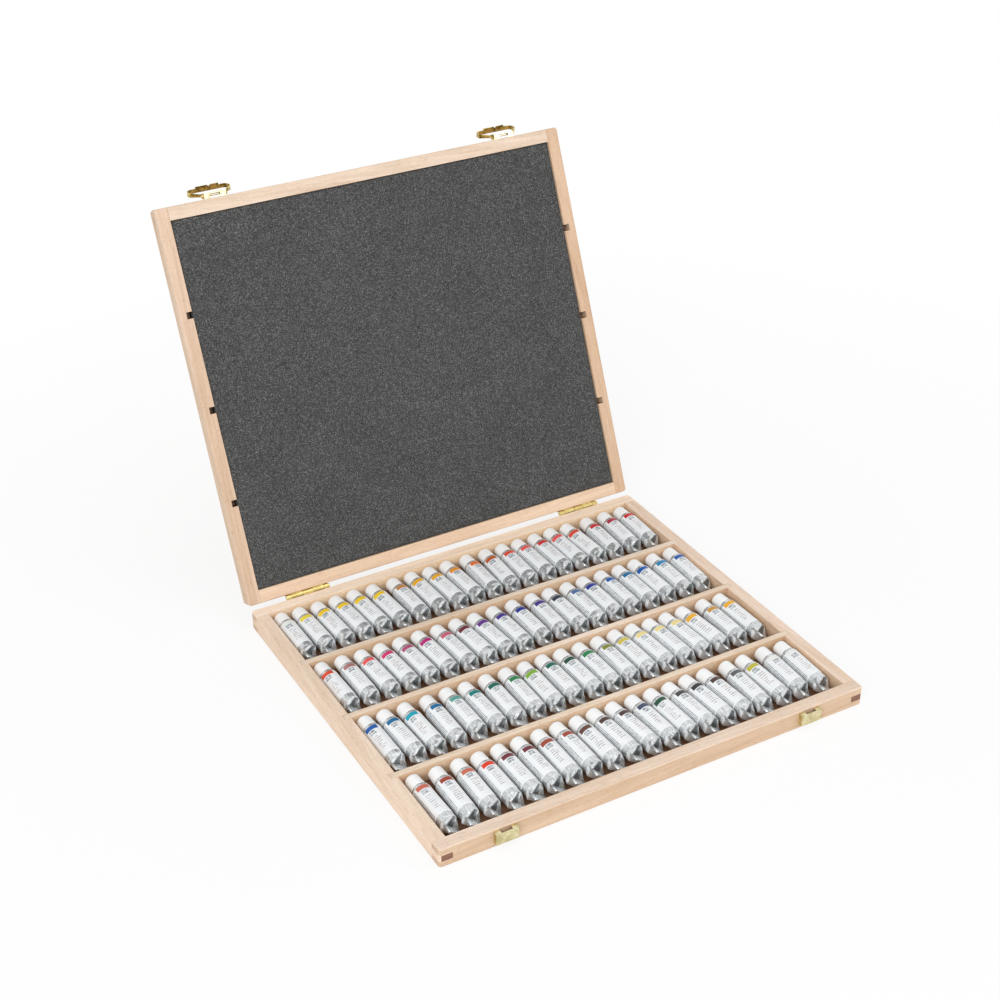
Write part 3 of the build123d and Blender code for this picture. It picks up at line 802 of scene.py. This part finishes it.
def screw_head(place):
    """A countersunk head with a cross recess. place turns (right, up, out) into a point of the case."""
    points, faces = [], []
    turns = [2 * math.pi * j / SCREW_SIDES for j in range(SCREW_SIDES)]
    circles = [[(r * math.cos(turn), r * math.sin(turn), out) for turn in turns] for r, out in SCREW_HEAD]
    append(points, faces, rings_mesh([[place(*spot) for spot in circle] for circle in circles]))

    cross = []
    x_way, y_way = (1, 0), (0, 1)
    for _ in range(4):
        for x, y in ((RECESS_HALF, -RECESS_SLOT), (RECESS_HALF, RECESS_SLOT), (RECESS_SLOT, RECESS_SLOT)):
            cross.append((x * x_way[0] + y * y_way[0], x * x_way[1] + y * y_way[1]))
        x_way, y_way = y_way, (-x_way[0], -x_way[1])
    outer, top = [(x, y) for x, y, out in circles[-1]], SCREW_HEAD[-1][1]
    flat = [[Vector((x, y, 0)) for x, y in outline] for outline in (outer, cross)]
    append(points, faces, ([place(x, y, top) for x, y in outer + cross], tessellate_polygon(flat)))
    walls = [[place(x, y, top) for x, y in cross],
             [place(x * RECESS_TAPER, y * RECESS_TAPER, RECESS_DEPTH) for x, y in cross]]
    append(points, faces, rings_mesh(walls, closed_end=True))
    return points, faces


def hinge_screws():
    """Three screws in each hinge leaf, on the body that the leaf belongs to."""
    for body, height in SCREW_Z.items():
        points, faces = [], []
        for x in [-x for x in reversed(SCREW_X)] + list(SCREW_X):
            def place(right, up, out):
                point = Vector((x - right, SCREW_Y + out, height + up))
                return swing(point) if body == "lid" else point
            append(points, faces, screw_head(place))
        made = piece(f"hinge_screws_{body}", points, faces, gold_brass, body)
        mesh = made.data
        bm = bmesh.new()
        bm.from_mesh(mesh)
        bmesh.ops.remove_doubles(bm, verts=bm.verts, dist=WELD_DISTANCE)
        bmesh.ops.recalc_face_normals(bm, faces=bm.faces)
        bm.to_mesh(mesh)
        bm.free()
        crisp = made.modifiers.new("crisp", "EDGE_SPLIT")
        crisp.split_angle = math.radians(HEAD_SHARP_ANGLE)


hinge_screws()


# Floor, light and camera, in metres
FLOOR_RADIUS, FLOOR_DROP = 9.0, 0.0002
# The shadow shows in full up to the first distance from the middle, and no more beyond the second
SHADOW_NEAR, SHADOW_FAR = 0.3, 0.8
NEAR_WHITE = 0.83
WORLD_LIGHT = 0.55
LAMPS = (
    # Name, place, what it is aimed at, size, watts
    ("key", (-1.7, -1.6, 1.5), (0, 0, 0.05), 1.2, 30),
    ("fill", (1.4, -1.6, 1.4), (0, 0, 0.05), 1.4, 11),
    ("top", (0.0, -0.4, 2.2), (0, 0, 0), 1.6, 7),
)

# The photograph's camera, worked out from the case's corners
CAMERA_AZIMUTH, CAMERA_ELEVATION, CAMERA_ROLL = -28.375, 32.739, -0.817
CAMERA_AIM, CAMERA_DISTANCE = (0.032516, 0.182499, 0), 1.439753
CAMERA_SENSOR, CAMERA_LENS = 36, 63.14
CAMERA_SHIFT = (0.03426, 0.0365)


def backdrop_rays(tree):
    """1 for the rays that show the white background: the camera's, and those in metal and gloss."""
    path = add(tree, "ShaderNodeLightPath").outputs
    mirrored = calc(tree, "MAXIMUM", path["Is Glossy Ray"], path["Is Transmission Ray"])
    return calc(tree, "MAXIMUM", path["Is Camera Ray"], mirrored)


def floor():
    """A pale floor that takes the object's shadow nearby and is white further away."""
    made, tree, shader = material("studio_floor", Roughness=0.9, Specular_IOR_Level=0.1)
    where = add(tree, "ShaderNodeTexCoord").outputs["Object"]
    shade = noise(tree, scaled(tree, where, (1.5, 1.5, 1.5)), 1, 0.5)
    tree.links.new(ramp(tree, shade, (0.3, srgb(246, 246, 246)), (0.7, srgb(248, 248, 248))),
                   shader.inputs["Base Color"])
    white = add(tree, "ShaderNodeEmission", {"Color": (1, 1, 1, 1), "Strength": 1.0})
    seen = backdrop_rays(tree)
    away = add(tree, "ShaderNodeVectorMath", {0: where}, operation="LENGTH").outputs["Value"]
    away = share_of(tree, away, SHADOW_NEAR, SHADOW_FAR)
    away = calc(tree, "MULTIPLY_ADD", away, 1 - NEAR_WHITE, NEAR_WHITE)
    blend = add(tree, "ShaderNodeMixShader", {0: calc(tree, "MULTIPLY", seen, away), 1: shader.outputs[0],
                                              2: white.outputs[0]})
    tree.links.new(blend.outputs[0], tree.nodes["Material Output"].inputs["Surface"])
    mesh = bpy.data.meshes.new("studio_floor")
    bm = bmesh.new()
    bmesh.ops.create_circle(bm, cap_ends=True, segments=64, radius=FLOOR_RADIUS)
    bm.to_mesh(mesh)
    bm.free()
    mesh.materials.append(made)
    plate = bpy.data.objects.new("studio_floor", mesh)
    plate.location.z = -FLOOR_DROP
    bpy.context.scene.collection.objects.link(plate)


def world():
    """Even light on the object, and plain white for the background's rays."""
    made = bpy.data.worlds.new("studio")
    made.use_nodes = True
    bpy.context.scene.world = made
    tree = made.node_tree
    seen = backdrop_rays(tree)
    strength = calc(tree, "MULTIPLY_ADD", seen, 1 - WORLD_LIGHT, WORLD_LIGHT)
    tree.links.new(strength, tree.nodes["Background"].inputs["Strength"])
    tree.nodes["Background"].inputs["Color"].default_value = (1, 1, 1, 1)


def lamp(name, place, aim, size, watts):
    """A square area lamp."""
    light = bpy.data.lights.new(name, "AREA")
    light.shape = "SQUARE"
    light.size = size
    light.energy = watts
    made = bpy.data.objects.new(name, light)
    made.location = place
    made.rotation_euler = (Vector(aim) - Vector(place)).to_track_quat("-Z", "Y").to_euler()
    bpy.context.scene.collection.objects.link(made)


def camera():
    azimuth, elevation, roll = (math.radians(v) for v in (CAMERA_AZIMUTH, CAMERA_ELEVATION, CAMERA_ROLL))
    back = Vector((math.sin(azimuth) * math.cos(elevation), -math.cos(azimuth) * math.cos(elevation),
                   math.sin(elevation)))
    right = (-back).cross(Vector((0, 0, 1))).normalized()
    up = right.cross(-back)
    level_right = right * math.cos(roll) + up * math.sin(roll)
    level_up = up * math.cos(roll) - right * math.sin(roll)
    data = bpy.data.cameras.new("camera")
    data.sensor_width = CAMERA_SENSOR
    data.lens = CAMERA_LENS
    data.shift_x, data.shift_y = CAMERA_SHIFT
    made = bpy.data.objects.new("camera", data)
    place = Vector(CAMERA_AIM) + back * CAMERA_DISTANCE
    turned = Matrix((level_right, level_up, back)).transposed().to_4x4()
    made.matrix_world = Matrix.Translation(place) @ turned
    bpy.context.scene.collection.objects.link(made)
    bpy.context.scene.camera = made


floor()
world()
for settings in LAMPS:
    lamp(*settings)
camera()
bpy.context.scene.view_settings.view_transform = "Standard"
